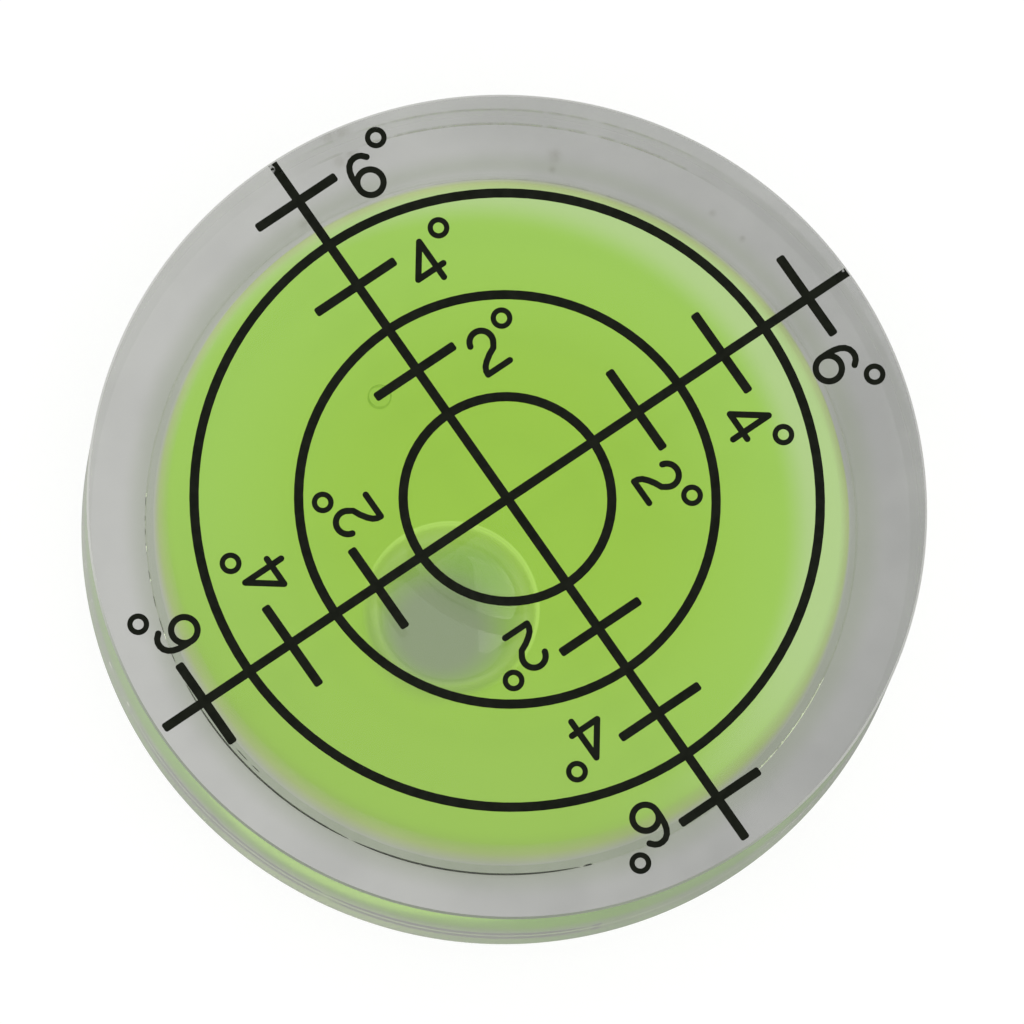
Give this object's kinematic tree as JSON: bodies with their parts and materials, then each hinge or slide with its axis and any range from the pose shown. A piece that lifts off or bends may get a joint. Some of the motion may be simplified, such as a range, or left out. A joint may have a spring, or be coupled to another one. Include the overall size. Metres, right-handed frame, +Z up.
{
  "type": "bullseye level",
  "caption": "Round sealed bubble level: clear acrylic disc with green spirit, an air bubble and a printed reticle of rings and a cross with degree marks.",
  "frame": {"origin": "middle of the underside, where the level rests", "axes": "+Z up along the axis of the disc, out of the printed face; +X and +Y along two arms of the printed cross"},
  "size_m": [0.06, 0.06, 0.0108],
  "materials": {
    "clear_acrylic": "clear, polished, lightly scuffed",
    "bond_cement": "cured clear cement with voids",
    "green_spirit": "clear fluorescent green liquid",
    "black_ink": "screen-printed black ink"
  },
  "bodies": {
    "root": {"vial_body": "clear_acrylic", "base_disc": "clear_acrylic", "bond_bead": "bond_cement", "fill_plug": "clear_acrylic", "spirit_fill": "green_spirit", "reticle_print": "black_ink"}
  },
  "joints": []
}
